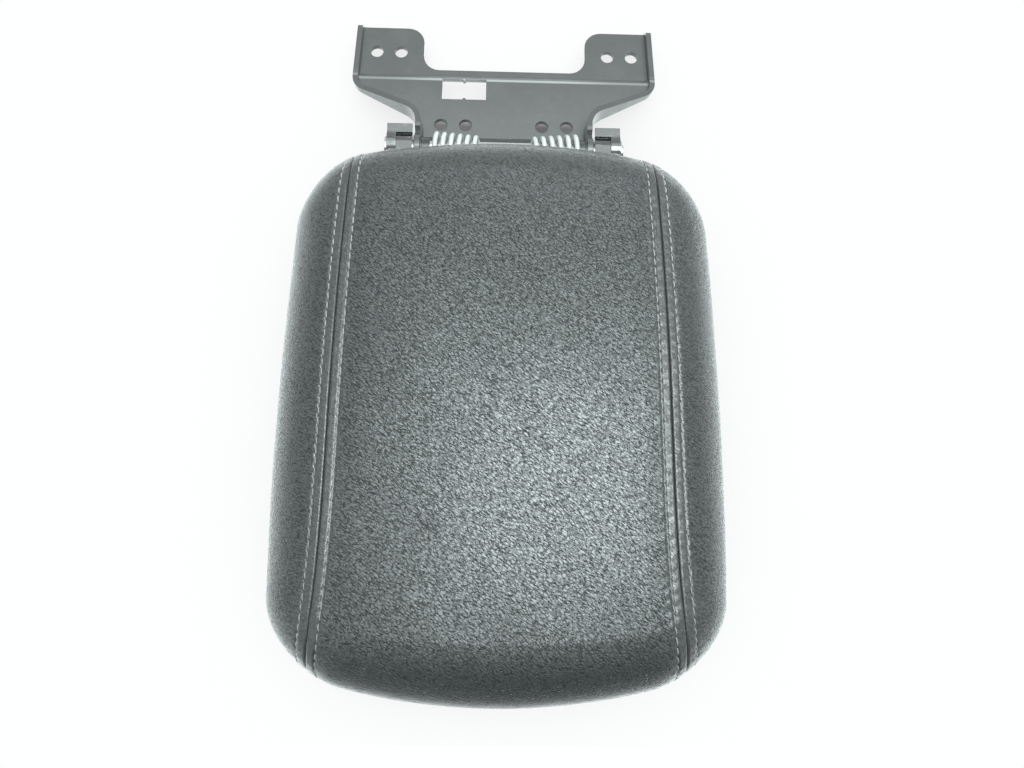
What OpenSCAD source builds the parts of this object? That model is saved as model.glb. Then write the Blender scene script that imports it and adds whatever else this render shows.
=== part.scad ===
// Padded lid of a car's centre console, with its sprung hinge and steel mounting bracket.
// The lid lies on its underside and the bracket is swung open, level behind it.
// Millimetres. +X is to the right, +Y from the lid to the bracket, +Z up.

/* [Padded lid] */
// Length of the padded lid from its front edge to its rear edge
pad_len = 251.4; // [240:0.1:262]
// Half of the lid's width, midway along it
pad_half_w = 98.5; // [94:0.1:102]
// Share by which the lid is wider at the front and narrower at the rear
pad_taper = 0.012; // [0:0.001:0.02]
// Share by which the sides' bow makes both ends narrower than the middle
pad_bow = 0.029; // [0:0.001:0.04]
// Corner radius of the lid seen from above
pad_corner_r = 32; // [30:0.5:34]
// Radius of the shallow arch of the front edge
front_arch_r = 280; // [250:5:400]
// Radius of the shallow arch of the rear edge
rear_arch_r = 400; // [300:5:500]
// Height of the crown above the surface that the lid lies on
crown_z = 55; // [52:0.5:58]
// How far the crown falls from the middle to the sides
crown_fall_x = 5; // [3:0.5:6]
// How far the crown falls from the middle to the ends
crown_fall_y = 5; // [3:0.5:6]
// Thickness of the sewn cover with its backing
cover_t = 1.3; // [1:0.1:1.5]
// Distance of each seam from the lid's middle
seam_s = 72; // [70:0.1:75]
// How far each seam spreads outwards at the front edge
seam_flare = 8; // [0:0.5:9]

/* [Hinge] */
// Height of the hinge axis
axis_z = 20; // [19.5:0.1:20.5]
// Gap from the hinge axis to the lid's rear edge
pad_gap = 7; // [5:0.1:8]
// Radius of the hinge pin
pin_r = 3.5; // [3.2:0.1:3.6]
// Distance of each ear's outer face from the middle
ear_x = 43.4; // [43:0.1:44]
// Radius of each hinge knuckle's barrel
knuckle_r = 7; // [6.5:0.1:7.5]

/* [Bracket] */
// Thickness of the pressed sheet
sheet_t = 2.6; // [2.4:0.1:2.8]
// Depth of the plate's upper face below the hinge axis
plate_drop = 9; // [8.8:0.1:9.4]
// Step down from the plate to the mounting tabs
joggle = 2; // [1.5:0.1:2.2]
// Distance from the hinge axis to the plate's front edge
plate_y = 11; // [10.5:0.1:12]
// Distance from the hinge axis to the crease
crease_y = 44.8; // [44:0.1:46]
// Distance from the hinge axis to the far edge of the strip between the tabs
strip_y = 50.5; // [50:0.1:52]
// Distance from the hinge axis to the tabs' far edge
tab_y = 74.5; // [73:0.1:76]
// Distance of each tab's inner edge from the middle
tab_x = 41.7; // [40:0.1:44]
// Distance of each side flange's outer face from the middle, at the crease
flange_x = 77; // [75:0.1:78]
// How much further in the flanges' far ends are
flange_taper = 1.2; // [0:0.1:1.5]
// Radius of the bolt holes
hole_r = 3.3; // [3.2:0.1:3.4]
// Hole places along the tabs, from the middle
tab_hole_x = [53.5, 66];
// Distance from the hinge axis to the tab holes
tab_hole_y = 60.6; // [59:0.1:62]
// Hole places along the plate, from the middle
plate_hole_x = [19.3, 31.8];
// Distance from the hinge axis to the plate holes
plate_hole_y = 18.1; // [17.5:0.1:19]

/* [Springs] */
// Radius of the spring wire
wire_r = 1.2; // [1.1:0.05:1.25]
// Outer radius of the coil at its outer end
coil_r_outer = 8.4; // [8:0.1:8.6]
// Outer radius of the coil at its inner end
coil_r_inner = 6.6; // [6.4:0.1:7]
// Number of turns in each spring
coil_turns = 6; // [5:1:6]
// Where each coil starts and ends along the pin, from the middle
coil_x = [36, 13.1];

/* [Underside] */
// Height of the base plate's lower face
base_z = 12; // [12:0.1:12.5]
// Thickness of the base plate
base_t = 3; // [2.5:0.1:3]
// Thickness of the closing panel
panel_t = 2.4; // [2:0.1:2.5]
// Height of the rubber bumpers below the closing panel
bumper_h = 2; // [2:0.1:2.2]

/* [Hidden] */

// The whole object is centred on Y = 0
pad_front = pad_gap + pad_len;
hinge_y = (pad_front - tab_y) / 2;
pad_half_l = pad_len / 2;
pad_mid = -pad_gap - pad_half_l;

// Shoulders of the pad: the height of its widest line and how far in the rounding reaches
side_rim_z = 26;
rear_rim_z = 35;
side_shoulder = 27;
rear_shoulder = 19;
// Below its widest line the cover falls through these steps of inset and height.
// At the rear it stops above the base's rear wall.
side_hem = [[0, side_rim_z], [0.7, 19], [2.2, 12.5], [4.2, 7.6], [6, 5.6], [8, 5.3]];
rear_hem = [[0, rear_rim_z], [1.0, 32.8], [2.2, 31.2], [3.6, 30.2], [5.4, 29.6], [8, 29.4]];
// The foam keeps inside the cover and steps over the base's rear wall
foam_gap = 0.8;
foam_side = [[0, side_rim_z], [0.9, 20], [1.6, 15.3]];
foam_rear = [[0, rear_rim_z], [2.2, 31.8], [11.4, 31.4]];
// Half-widths between which the rear hem rises from the sides to the rear
// (the foam rises sooner than the cover, by the lead)
hem_low_s = 70;
hem_high_s = 62;
foam_lead = 8;

// Rear wall of the base
wall_inset = 8;
wall_t = 2.5;
wall_top = 29;

// Bracket flange, in plan: straight beside the ear, a diagonal, then straight along the tab
bend_r = 3.6;
flange_b = [ear_x, 19.5];
flange_c = [flange_x, 37.2];
fillet_b = 12;
fillet_c = 9;
diagonal = flange_c - flange_b;
diagonal_a = atan2(diagonal[1], diagonal[0]);
turn_a = 90 - diagonal_a;
cut_b = fillet_b * tan(turn_a / 2);
cut_c = fillet_c * tan(turn_a / 2);
centre_b = [flange_b[0] + fillet_b, flange_b[1] - cut_b];
centre_c = [flange_c[0] - fillet_c, flange_c[1] + cut_c];
joggle_w = 2.4;
plate_low = -plate_drop - sheet_t;
tab_low = plate_low - joggle;
ear_nose_r = 6.8;
bush_r = 4.9;
bush_gap = 0.06;

// Hinge knuckles, and the pin's head and clip outside them
barrel_x = [44.3, 52];
cheek_x = [55.4, 56.5];
pin_head_x = cheek_x[1] + 0.2;
pin_head_t = 1.2;
clip_x = cheek_x[1] + 0.5;
clip_t = 0.7;
arm_low = -7;
foot_z = [8, 11.95];
foot_y = [-48, -17];
foot_screw_y = [-42, -27];
foot_screw_x = 50.5;

// Latch at the front of the underside
latch_front = -pad_front + 11.4;
latch_rear = latch_front + 34;
latch_y = latch_front + 14.5;
latch_z = 7.7;
latch_pin_r = 1.5;
latch_half_w = 28;
latch_wall = 1.6;

panel_z = bumper_h;
panel_top = panel_z + panel_t;
screw_x = 62;
screw_y = [-60, -130, -200];
bumper_x = 72;
bumper_y = [-54, -216];

function mix(a, b, t) = a + (b - a) * t;
function smooth(t) = let (c = min(1, max(0, t))) c * c * (3 - 2 * c);

// The lid's outline is a rounded rectangle in s (across) and r (along). These four give
// the vector from the corner's centre, the depth inside the outline, how far a place
// belongs to the rear, and the real place with the taper and the arched ends.
function corner(s, r) = [
    max(abs(s) - pad_half_w + pad_corner_r, 0),
    max(abs(r) - pad_half_l + pad_corner_r, 0)
];
function depth(s, r) = pad_corner_r - norm(corner(s, r))
    - min(max(abs(s) - pad_half_w + pad_corner_r, abs(r) - pad_half_l + pad_corner_r), 0);
function rearness(s, r) = let (c = corner(s, r), n = norm(c))
    r < 0 || n == 0 ? 0 : pow(c[1] / n, 2);
function place(s, r) = [
    s * (1 - pad_taper * r / pad_half_l - pad_bow * pow(r / pad_half_l, 2)),
    pad_mid + r * (1 - s * s / (2 * (r < 0 ? front_arch_r : rear_arch_r) * pad_half_l))
];
// Where the seam is at a share v of the way from the middle to the rear
function seam_at(v) = seam_s + seam_flare * pow(max(0, -v), 3);

// Height of the pad, t inside its outer surface: a crown with quarter-ellipse shoulders
function pad_z(s, r, t) = let (
        top = crown_z - crown_fall_x * pow(s / pad_half_w, 2) - crown_fall_y * pow(r / pad_half_l, 2) - t,
        b = rearness(s, r),
        rim = mix(side_rim_z, rear_rim_z, b),
        reach = mix(side_shoulder, rear_shoulder, b) - t,
        f = min(1, max(0, (depth(s, r) - t) / reach))
    ) top - (top - rim) * (1 - sqrt(1 - pow(1 - f, 2)));
function pad_point(s, r, t) = let (p = place(s, r)) [p[0], p[1], pad_z(s, r, t)];

// Half-length of the inset outline at s
function reach_r(s, t) = let (c = abs(s) - pad_half_w + pad_corner_r)
    pad_half_l - (c <= 0 ? t : pad_corner_r - sqrt(max(0, pow(pad_corner_r - t, 2) - c * c)));

// A point below the pad's widest line, from a side step and a rear step of the hem
function hem_point(s, r, side, rear, t, lead = 0) = let (
        c = corner(s, r),
        n = c / max(norm(c), 1e-9),
        h = r < 0 ? 0 : smooth((hem_low_s + lead - abs(s)) / (hem_low_s - hem_high_s)),
        step = mix(side, rear, h),
        z = mix(step[1], mix(side[1], rear[1], rearness(s, r)), side[0] == 0 ? 1 : 0),
        p = place(s - sign(s) * n[0] * step[0], r - sign(r) * n[1] * step[0])
    ) [p[0], p[1], z + t];

// A closed shell between two matching grids of points, with faces of no area left out
function flat(grid) = [for (row = grid) for (p = row) p];
module shell(outer, inner) {
    rows = len(outer);
    cols = len(outer[0]);
    n = rows * cols;
    points = concat(flat(outer), flat(inner));
    quads = concat(
        [for (j = [0:rows - 2]) for (i = [0:cols - 2])
            let (a = j * cols + i) [a, a + 1, a + cols + 1, a + cols]],
        [for (j = [0:rows - 2]) for (i = [0:cols - 2])
            let (a = n + j * cols + i) [a + cols, a + cols + 1, a + 1, a]],
        [for (i = [0:cols - 2]) [i + 1, i, n + i, n + i + 1]],
        [for (i = [0:cols - 2]) let (a = (rows - 1) * cols + i) [a, a + 1, n + a + 1, n + a]],
        [for (j = [0:rows - 2]) let (a = j * cols) [a, a + cols, n + a + cols, n + a]],
        [for (j = [0:rows - 2]) let (a = j * cols + cols - 1) [a + cols, a, n + a, n + a + cols]]
    );
    triangles = [for (q = quads) for (f = [[q[0], q[2], q[1]], [q[0], q[3], q[2]]])
        let (a = points[f[0]], b = points[f[1]], c = points[f[2]])
        if (norm(cross(b - a, c - a)) > 1e-3) f];
    polyhedron(points, triangles);
}

// Closed solids through rings of points: a skin has flat ends, a loft has a point at each end.
// A flat end is filled by a strip between its ring's two halves.
function side_faces(rings, n) = [for (k = [0:rings - 2]) for (i = [0:n - 1])
    let (a = k * n + i, b = k * n + (i + 1) % n)
    each [[a, b, b + n], [a, b + n, a + n]]];
module skin(rings) {
    n = len(rings[0]);
    end = (len(rings) - 1) * n;
    ends = [for (i = [0:n / 2 - 2])
        let (j = n - 1 - i, a = end + i, b = end + j)
        each [[j, j - 1, i + 1], [j, i + 1, i], [a, a + 1, b - 1], [a, b - 1, b]]];
    polyhedron(flat(rings), concat(side_faces(len(rings), n), ends));
}
module loft(rings, first, last) {
    n = len(rings[0]);
    tip = len(rings) * n;
    ends = [for (i = [0:n - 1])
        let (j = (i + 1) % n, e = tip - n)
        each [[tip, j, i], [tip + 1, e + i, e + j]]];
    polyhedron(concat(flat(rings), [first, last]), concat(side_faces(len(rings), n), ends));
}

// The outline, inset by t at the sides and front and by t + rear at the rear, as points
function arc_points(cx, cy, radius, from, count) =
    [for (k = [0:count]) let (a = from + 90 * k / count) [cx + radius * cos(a), cy + radius * sin(a)]];
function outline(t, rear = 0, count = 8) = let (
        x = pad_half_w - pad_corner_r,
        y = pad_half_l - pad_corner_r,
        radius = pad_corner_r - t,
        raw = concat(
            arc_points(x, y - rear, radius, 0, count),
            [for (k = [1:7]) [mix(x, -x, k / 8), y - rear + radius]],
            arc_points(-x, y - rear, radius, 90, count),
            [[-x - radius, 0]],
            arc_points(-x, -y, radius, 180, count),
            [for (k = [1:7]) [mix(-x, x, k / 8), -y - radius]],
            arc_points(x, -y, radius, 270, count),
            [[x + radius, 0]]
        )
    ) [for (p = raw) place(p[0], p[1])];

module in_frame() translate([0, hinge_y, 0]) children();
module at_axis() translate([0, hinge_y, axis_z]) children();
module along_x(from, to) translate([from, 0, 0]) rotate([90, 0, 90]) linear_extrude(to - from) children();
module both_sides() {
    children();
    mirror([1, 0, 0]) children();
}

// Pressed bracket: its plate and tabs are one sheet with a joggle at the crease
module sheet_profile() {
    polygon([
        [plate_y, plate_low], [plate_y, -plate_drop],
        [crease_y, -plate_drop], [crease_y + joggle_w, -plate_drop - joggle],
        [tab_y, -plate_drop - joggle], [tab_y, tab_low],
        [crease_y + joggle_w, tab_low], [crease_y, plate_low]
    ]);
}

// The flange's two curves in plan, t in from its outer face
function curve_b(t) = [for (k = [0:6]) let (a = 180 - turn_a * k / 6)
    centre_b + (fillet_b + t) * [cos(a), sin(a)]];
function curve_c(t) = [for (k = [0:7]) let (a = -turn_a * (1 - k / 7))
    centre_c + (fillet_c - t) * [cos(a), sin(a)]];

// The sheet seen from above, between the flanges' bends
module sheet_plan() {
    side = bend_r - 0.2;
    half = concat(
        [[ear_x - side, plate_y]], curve_b(side), curve_c(side),
        [[flange_x - side, crease_y], [flange_x - flange_taper - side, tab_y]],
        [for (k = [0:6]) let (a = 90 + 15 * k) [tab_x + 8.4 + 8.4 * cos(a), tab_y - 8.4 + 8.4 * sin(a)]],
        [for (k = [0:6]) let (a = -15 * k) [tab_x - 8 + 8 * cos(a), strip_y + 8 + 8 * sin(a)]]
    );
    polygon(concat(half, [for (k = [len(half) - 1:-1:0]) [-half[k][0], half[k][1]]]));
}

// Height of the sheet's lower face, and of the flanges' upper edge, at a distance behind the axis
function sheet_low(y) = lookup(y, [[0, plate_low], [crease_y, plate_low], [crease_y + joggle_w, tab_low]]);
flange_top = [
    [0, 6.8], [11, 5.4], [20, 2.6], [28, -1.4], [36, -5.2], [44, -6],
    [tab_y - 3, -6.4], [tab_y - 1.6, -6.9], [tab_y - 0.5, -8.1], [tab_y, -9.4]
];

// The flange's outer face in plan: each entry is a place and the direction into the sheet
function flange_path() = let (
        dir = [cos(diagonal_a), sin(diagonal_a)],
        from = flange_b + dir * cut_b,
        to = flange_c - dir * cut_c
    ) concat(
        [[[ear_x, plate_y], [-1, 0]]],
        [for (p = curve_b(0)) [p, (p - centre_b) / fillet_b]],
        [for (k = [1:3]) [mix(from, to, k / 4), [-dir[1], dir[0]]]],
        [for (p = curve_c(0)) [p, (centre_c - p) / fillet_c]],
        [for (y = [crease_y, crease_y + joggle_w, 60, tab_y - 3, tab_y - 1.6, tab_y - 0.5, tab_y])
            [[flange_x - flange_taper * (y - crease_y) / (tab_y - crease_y), y], [-1, 0]]]
    );

// Section across the flange, with the bend to the sheet: steps in from the outer face and up
function flange_section(low, top) = let (
        steps = 5,
        inner_r = bend_r - sheet_t
    ) concat(
        [[sheet_t, top]],
        [for (k = [0:steps]) let (a = 180 + 90 * k / steps)
            [bend_r + inner_r * cos(a), low + bend_r + inner_r * sin(a)]],
        [[bend_r + 1.2, low + sheet_t], [bend_r + 1.2, low]],
        [for (k = [steps:-1:0]) let (a = 180 + 90 * k / steps)
            [bend_r + bend_r * cos(a), low + bend_r + bend_r * sin(a)]],
        [[0, top]]
    );

module flange() {
    skin([for (f = flange_path()) let (low = sheet_low(f[0][1]), top = lookup(f[0][1], flange_top))
        [for (q = flange_section(low, top)) let (p = f[0] + f[1] * q[0]) [p[0], p[1], q[1]]]]);
}

// Rounded ear, seen from the side, with a notch between its nose and the flange
module ear_side() {
    join_y = 14;
    polygon(concat(
        [for (k = [0:20]) let (a = 262 - 11.5 * k) ear_nose_r * [cos(a), sin(a)]],
        [[7.3, 2.5], [9.2, 5.2]],
        [[plate_y, lookup(plate_y, flange_top)], [join_y, lookup(join_y, flange_top) - 0.1]],
        [[join_y, plate_low + bend_r + 0.1]]
    ));
}

module hinge_bracket() {
    color("#6f7573") at_axis() difference() {
        union() {
            intersection() {
                along_x(-flange_x, flange_x) sheet_profile();
                translate([0, 0, -20]) linear_extrude(20) sheet_plan();
            }
            both_sides() flange();
            both_sides() along_x(ear_x - sheet_t, ear_x) ear_side();
        }
        // Pin holes through the ears
        rotate([0, 90, 0]) cylinder(h = 2 * flange_x, r = bush_r, center = true, $fn = 48);
        // Bolt holes
        for (side = [-1, 1], x = tab_hole_x)
            translate([side * x, tab_hole_y, -20]) cylinder(h = 20, r = hole_r, $fn = 48);
        for (side = [-1, 1], x = plate_hole_x)
            translate([side * x, plate_hole_y, -20]) cylinder(h = 20, r = hole_r, $fn = 48);
        // Clip window with its two nibs
        difference() {
            translate([-31.6, 32.7, -20]) cube([22.4, 11.6, 20]);
            for (y = [32.7, 44.3])
                translate([-20.4, y, -20]) cylinder(h = 20, r = 0.9, $fn = 24);
        }
    }
}

// Plastic bush in each ear, longer on the inside, with a flange on both faces of the ear
module ear_bush() {
    color("#2b2d2e") at_axis() difference() {
        rotate([0, 90, 0]) union() {
            translate([0, 0, 36]) cylinder(h = ear_x + 0.4 - 36, r = bush_r, $fn = 48);
            translate([0, 0, ear_x - sheet_t - 0.7]) cylinder(h = 0.7, r = 6, $fn = 48);
            translate([0, 0, ear_x]) cylinder(h = 0.4, r = 6, $fn = 48);
        }
        rotate([0, 90, 0]) cylinder(h = 60, r = pin_r + bush_gap, $fn = 48);
    }
}

module ear_bush_left() mirror([1, 0, 0]) ear_bush();
module ear_bush_right() ear_bush();

// Hinge pin with a head at its left end and a groove at its right end
module hinge_pin() {
    color("#9a9d9c") at_axis() rotate([0, 90, 0]) difference() {
        union() {
            translate([0, 0, -pin_head_x]) cylinder(h = pin_head_x + clip_x + clip_t + 0.9, r = pin_r, $fn = 48);
            translate([0, 0, -pin_head_x - pin_head_t]) cylinder(h = pin_head_t, r = 5, $fn = 48);
        }
        translate([0, 0, clip_x - 0.05]) difference() {
            cylinder(h = clip_t + 0.1, r = pin_r + 1, $fn = 48);
            cylinder(h = clip_t + 0.1, r = pin_r - 0.6, $fn = 48);
        }
    }
}

// Spring clip that snaps into the pin's groove, open on one side
module pin_clip() {
    color("#b4b6b5") at_axis() rotate([0, 90, 0]) translate([0, 0, clip_x]) difference() {
        cylinder(h = clip_t, r = 5.4, $fn = 48);
        translate([0, 0, -1]) cylinder(h = 3, r = pin_r - 0.58, $fn = 48);
        translate([-2.6, 0, -1]) cube([5.2, 10, 3]);
    }
}

// Moulded knuckle: a barrel on the pin, a cheek, a lip behind the barrel and a screwed foot
module hinge_knuckle() {
    wall_front = -wall_inset - wall_t - 9;
    color("#191b1c") at_axis() difference() {
        union() {
            along_x(barrel_x[0], cheek_x[0]) {
                circle(knuckle_r, $fn = 64);
                translate([wall_front, arm_low]) square([-wall_front, 2 * knuckle_r]);
            }
            along_x(barrel_x[1], cheek_x[0]) circle(knuckle_r + 1.4, $fn = 64);
            along_x(cheek_x[0], cheek_x[1]) {
                circle(knuckle_r + 1.6, $fn = 64);
                translate([-11.5, arm_low]) square([11.5, 2 * knuckle_r]);
            }
            // Lip behind the barrel
            along_x(barrel_x[0], cheek_x[1]) translate([4.4, 4.8]) square([4.6, 2.4]);
            // Foot under the base plate
            translate([barrel_x[0] + 0.6, foot_y[0], foot_z[0] - axis_z])
                cube([cheek_x[1] - barrel_x[0] - 0.6, foot_y[1] - foot_y[0], foot_z[1] - foot_z[0]]);
            along_x(barrel_x[0] + 0.6, cheek_x[1])
                polygon([[wall_front, arm_low], [wall_front, foot_z[0] - axis_z], [-8, arm_low]]);
        }
        rotate([0, 90, 0]) cylinder(h = 60, r = pin_r + 0.02, $fn = 48);
        for (y = foot_screw_y)
            translate([foot_screw_x, y, -20]) cylinder(h = 20, r = 2.7, $fn = 32);
    }
}

module hinge_knuckle_left() mirror([1, 0, 0]) hinge_knuckle();
module hinge_knuckle_right() hinge_knuckle();

// Washer-head screw, head down
module screw(head_r, head_h, shank_r, length) {
    difference() {
        cylinder(h = head_h, r = head_r, $fn = 40);
        translate([0, 0, -0.1]) cylinder(h = head_h * 0.6, r = head_r * 0.5, $fn = 6);
    }
    translate([0, 0, head_h]) cylinder(h = length, r = shank_r, $fn = 32);
}

module knuckle_screws() {
    color("#7b7e80") in_frame() for (side = [-1, 1], y = foot_screw_y)
        translate([side * foot_screw_x, y, foot_z[0] - 2.4])
            screw(4.4, 2.4, 2.4, base_z + base_t - foot_z[0] - 0.4);
}

// Torsion spring: a helix about the pin whose radius falls inwards, with a straight leg at
// each end. Each path entry is a point and the direction from the axis.
function coil_frame(x, radius, a) = [[x, radius * cos(a), radius * sin(a)], [0, cos(a), sin(a)]];
function spring_path(x_outer, x_inner, r_outer, r_inner, turns, a_outer, a_inner, steps) = let (
        sweep = a_inner - a_outer - 360 * turns,
        n = turns * steps
    ) [for (k = [0:n]) let (f = k / n)
        coil_frame(mix(x_outer, x_inner, f), mix(r_outer, r_inner, f), a_outer + sweep * f)];

module wire(path, radius, sides) {
    last = len(path) - 1;
    rings = [for (k = [0:last]) let (
            t = path[min(k + 1, last)][0] - path[max(k - 1, 0)][0],
            d = t / norm(t),
            n0 = path[k][1],
            n = (n0 - d * (n0 * d)) / norm(n0 - d * (n0 * d)),
            m = cross(n, d)
        ) [for (i = [0:sides - 1]) let (a = 360 * i / sides)
            path[k][0] + radius * (n * cos(a) + m * sin(a))]];
    skin(rings);
}

module torsion_spring() {
    outer = coil_r_outer - wire_r;
    inner = coil_r_inner - wire_r;
    coil = spring_path(coil_x[0], coil_x[1], outer, inner, coil_turns, 245, 285, 12);
    start = coil[0][0];
    end = coil[len(coil) - 1][0];
    // One leg goes under the bracket's plate and the other through the base's rear wall
    bracket_leg = [
        [[start[0], 15.6, plate_low - wire_r - 0.2], [0, 0, -1]],
        [[start[0], 12.6, plate_low - wire_r - 0.2], [0, 0, -1]],
        [[start[0], 10.2, plate_low - wire_r - 0.1], [0, -0.2, -1]]
    ];
    lid_leg = [[end + [0, -26 * cos(15), -26 * sin(15)], [0, sin(15), -cos(15)]]];
    color("#f2f3f1") at_axis() wire(concat(bracket_leg, coil, lid_leg), wire_r, 8);
}

module torsion_spring_left() mirror([1, 0, 0]) torsion_spring();
module torsion_spring_right() torsion_spring();

// Moulded base that carries the foam: a plate with a rim, ribs, screw bosses and a rear wall
module knuckle_clear(height) {
    both_sides() translate([barrel_x[0] - 0.4, -60, 0]) cube([cheek_x[1] - barrel_x[0] + 1, 70, height]);
}

module lid_base() {
    rim_low = 8.3;
    rib_t = 2;
    color("#26282a") in_frame() difference() {
        union() {
            translate([0, 0, base_z]) linear_extrude(base_t) polygon(outline(6, 4.2));
            // Rim and rear wall
            translate([0, 0, rim_low]) linear_extrude(base_z - rim_low) difference() {
                polygon(outline(6, 4.2));
                polygon(outline(8.2, 4.9));
            }
            intersection() {
                translate([0, 0, rim_low]) linear_extrude(wall_top - rim_low) difference() {
                    polygon(outline(wall_inset));
                    polygon(outline(wall_inset + wall_t));
                }
                rotate([90, 0, 0]) linear_extrude(40) polygon([
                    [-57, wall_top], [57, wall_top], [63, 14], [67, 7], [-67, 7], [-63, 14]
                ]);
            }
            // Ribs under the plate
            translate([0, 0, 7.4]) linear_extrude(base_z - 7.4) intersection() {
                polygon(outline(7, 5));
                union() {
                    for (x = [-36, -12, 12, 36])
                        translate([x - rib_t / 2, -pad_front]) square([rib_t, pad_len]);
                    for (y = [-70:-30:-210])
                        translate([-pad_half_w, y - rib_t / 2]) square([2 * pad_half_w, rib_t]);
                }
            }
            // Screw bosses
            for (side = [-1, 1], y = screw_y)
                translate([side * screw_x, y, panel_top + 0.05])
                    cylinder(h = base_z - panel_top, r = 4.2, $fn = 40);
        }
        for (side = [-1, 1], y = screw_y)
            translate([side * screw_x, y, 0]) cylinder(h = base_z + 1, r = 1.6, $fn = 32);
        for (side = [-1, 1], y = foot_screw_y)
            translate([side * foot_screw_x, y, 0]) cylinder(h = 20, r = 2.45, $fn = 32);
        // Room for the knuckles, the springs' legs and the latch
        difference() {
            knuckle_clear(axis_z + knuckle_r + 0.6);
            translate([-100, -60, base_z]) cube([200, 60 - wall_inset - wall_t - 9.4, 10]);
        }
        both_sides() translate([coil_x[1] - 2, -30, 5]) cube([4, 28, base_z - 5]);
        both_sides() translate([coil_x[1] - 2, -17.6, 5]) cube([4, 16, 9.4]);
        translate([-latch_half_w - 0.2, latch_front - 0.2, 0])
            cube([2 * latch_half_w + 0.4, latch_rear - latch_front + 0.4, base_z]);
    }
}

// Foam moulded over the base
module foam_pad() {
    t = cover_t + foam_gap;
    count = 8;
    rx = pad_half_w - pad_corner_r;
    ry = pad_half_l - pad_corner_r;
    // Rim points round the outline as s and r, inset with the cover
    rim = concat(
        arc_points(rx, ry, pad_corner_r - t, 0, count),
        [for (k = [1:5]) [mix(rx, -rx, k / 6), ry + pad_corner_r - t]],
        arc_points(-rx, ry, pad_corner_r - t, 90, count),
        [for (k = [1:5]) [-rx - pad_corner_r + t, mix(ry, -ry, k / 6)]],
        arc_points(-rx, -ry, pad_corner_r - t, 180, count),
        [for (k = [1:5]) [mix(-rx, rx, k / 6), -ry - pad_corner_r + t]],
        arc_points(rx, -ry, pad_corner_r - t, 270, count),
        [for (k = [1:5]) [rx + pad_corner_r - t, mix(-ry, ry, k / 6)]]
    );
    shares = [0.3, 0.6, 0.8, 0.9, 0.96, 0.99, 1];
    top_rings = [for (f = shares) [for (p = rim) pad_point(p[0] * f, p[1] * f, t)]];
    low_rings = [for (k = [1:len(foam_side) - 1])
        [for (p = rim) hem_point(p[0], p[1], foam_side[k], foam_rear[k], 0, foam_lead)]];
    foot = [for (p = low_rings[len(low_rings) - 1]) [p[0], p[1], base_z + base_t + 0.1]];
    color("#c9c2a8") in_frame() loft(
        concat(top_rings, low_rings, [foot]),
        pad_point(0, 0, t),
        [0, pad_mid, base_z + base_t + 0.1]
    );
}

// Sewn cover: the centre panel between the seams
function rows_v(n) = [for (k = [0:n]) sin(mix(-90, 90, k / n))];
function centre_grid(t, cols, rows) = let (
        across = [for (i = [0:cols]) mix(-1, 1, i / cols)],
        steps = len(side_hem) - 1,
        rim = function (a, v) let (s = a * seam_at(v)) [s, v * reach_r(s, t)]
    ) concat(
        [for (k = [steps:-1:1]) [for (a = across) let (p = rim(a, -1))
            hem_point(p[0], p[1], side_hem[k], rear_hem[k], k > 3 ? t : 0)]],
        [for (v = rows_v(rows)) [for (a = across) let (p = rim(a, v)) pad_point(p[0], p[1], t)]],
        [for (k = [1:steps]) [for (a = across) let (p = rim(a, 1))
            hem_point(p[0], p[1], side_hem[k], rear_hem[k], k > 3 ? t : 0)]]
    );

module cover_centre_panel() {
    color("#33383a") in_frame() shell(centre_grid(0, 12, 22), centre_grid(cover_t, 12, 22));
}

// A side panel: each row runs from the seam to the rim and on down the hem
function side_grid(t, arc_n, side_n, cols) = let (
        rx = pad_half_w - pad_corner_r,
        ry = pad_half_l - pad_corner_r,
        radius = pad_corner_r - t,
        seam_gap = 0.1,
        start = function (v) asin((seam_at(v) + seam_gap - rx) / radius),
        front = [for (k = [0:arc_n]) let (a = mix(start(-1), 90, k / arc_n))
            [rx + radius * sin(a), -ry - radius * cos(a)]],
        side = [for (k = [1:side_n - 1]) [rx + radius, mix(-ry, ry, k / side_n)]],
        rear = [for (k = [arc_n:-1:0]) let (a = mix(start(1), 90, k / arc_n))
            [rx + radius * sin(a), ry + radius * cos(a)]],
        rim = concat(front, side, rear),
        n = len(rim) - 1,
        steps = len(side_hem) - 1
    ) [for (j = [0:n]) let (
            arc_share = 0.32,
            f = j <= arc_n ? arc_share / 2 * j / arc_n
                : j >= n - arc_n ? 1 - arc_share / 2 * (n - j) / arc_n
                : mix(arc_share / 2, 1 - arc_share / 2, (j - arc_n) / (n - 2 * arc_n)),
            v = mix(-1, 1, f),
            from = [seam_at(v) + seam_gap, v * reach_r(seam_at(v) + seam_gap, t)]
        ) concat(
            [for (i = [0:cols]) let (p = mix(from, rim[j], sin(90 * i / cols))) pad_point(p[0], p[1], t)],
            [for (k = [1:steps]) hem_point(rim[j][0], rim[j][1], side_hem[k], rear_hem[k], k > 3 ? t : 0)]
        )];

module cover_side_panel() {
    color("#2f3436") in_frame() shell(side_grid(0, 7, 14, 7), side_grid(cover_t, 7, 14, 7));
}

module cover_left_panel() mirror([1, 0, 0]) cover_side_panel();
module cover_right_panel() cover_side_panel();

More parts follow.
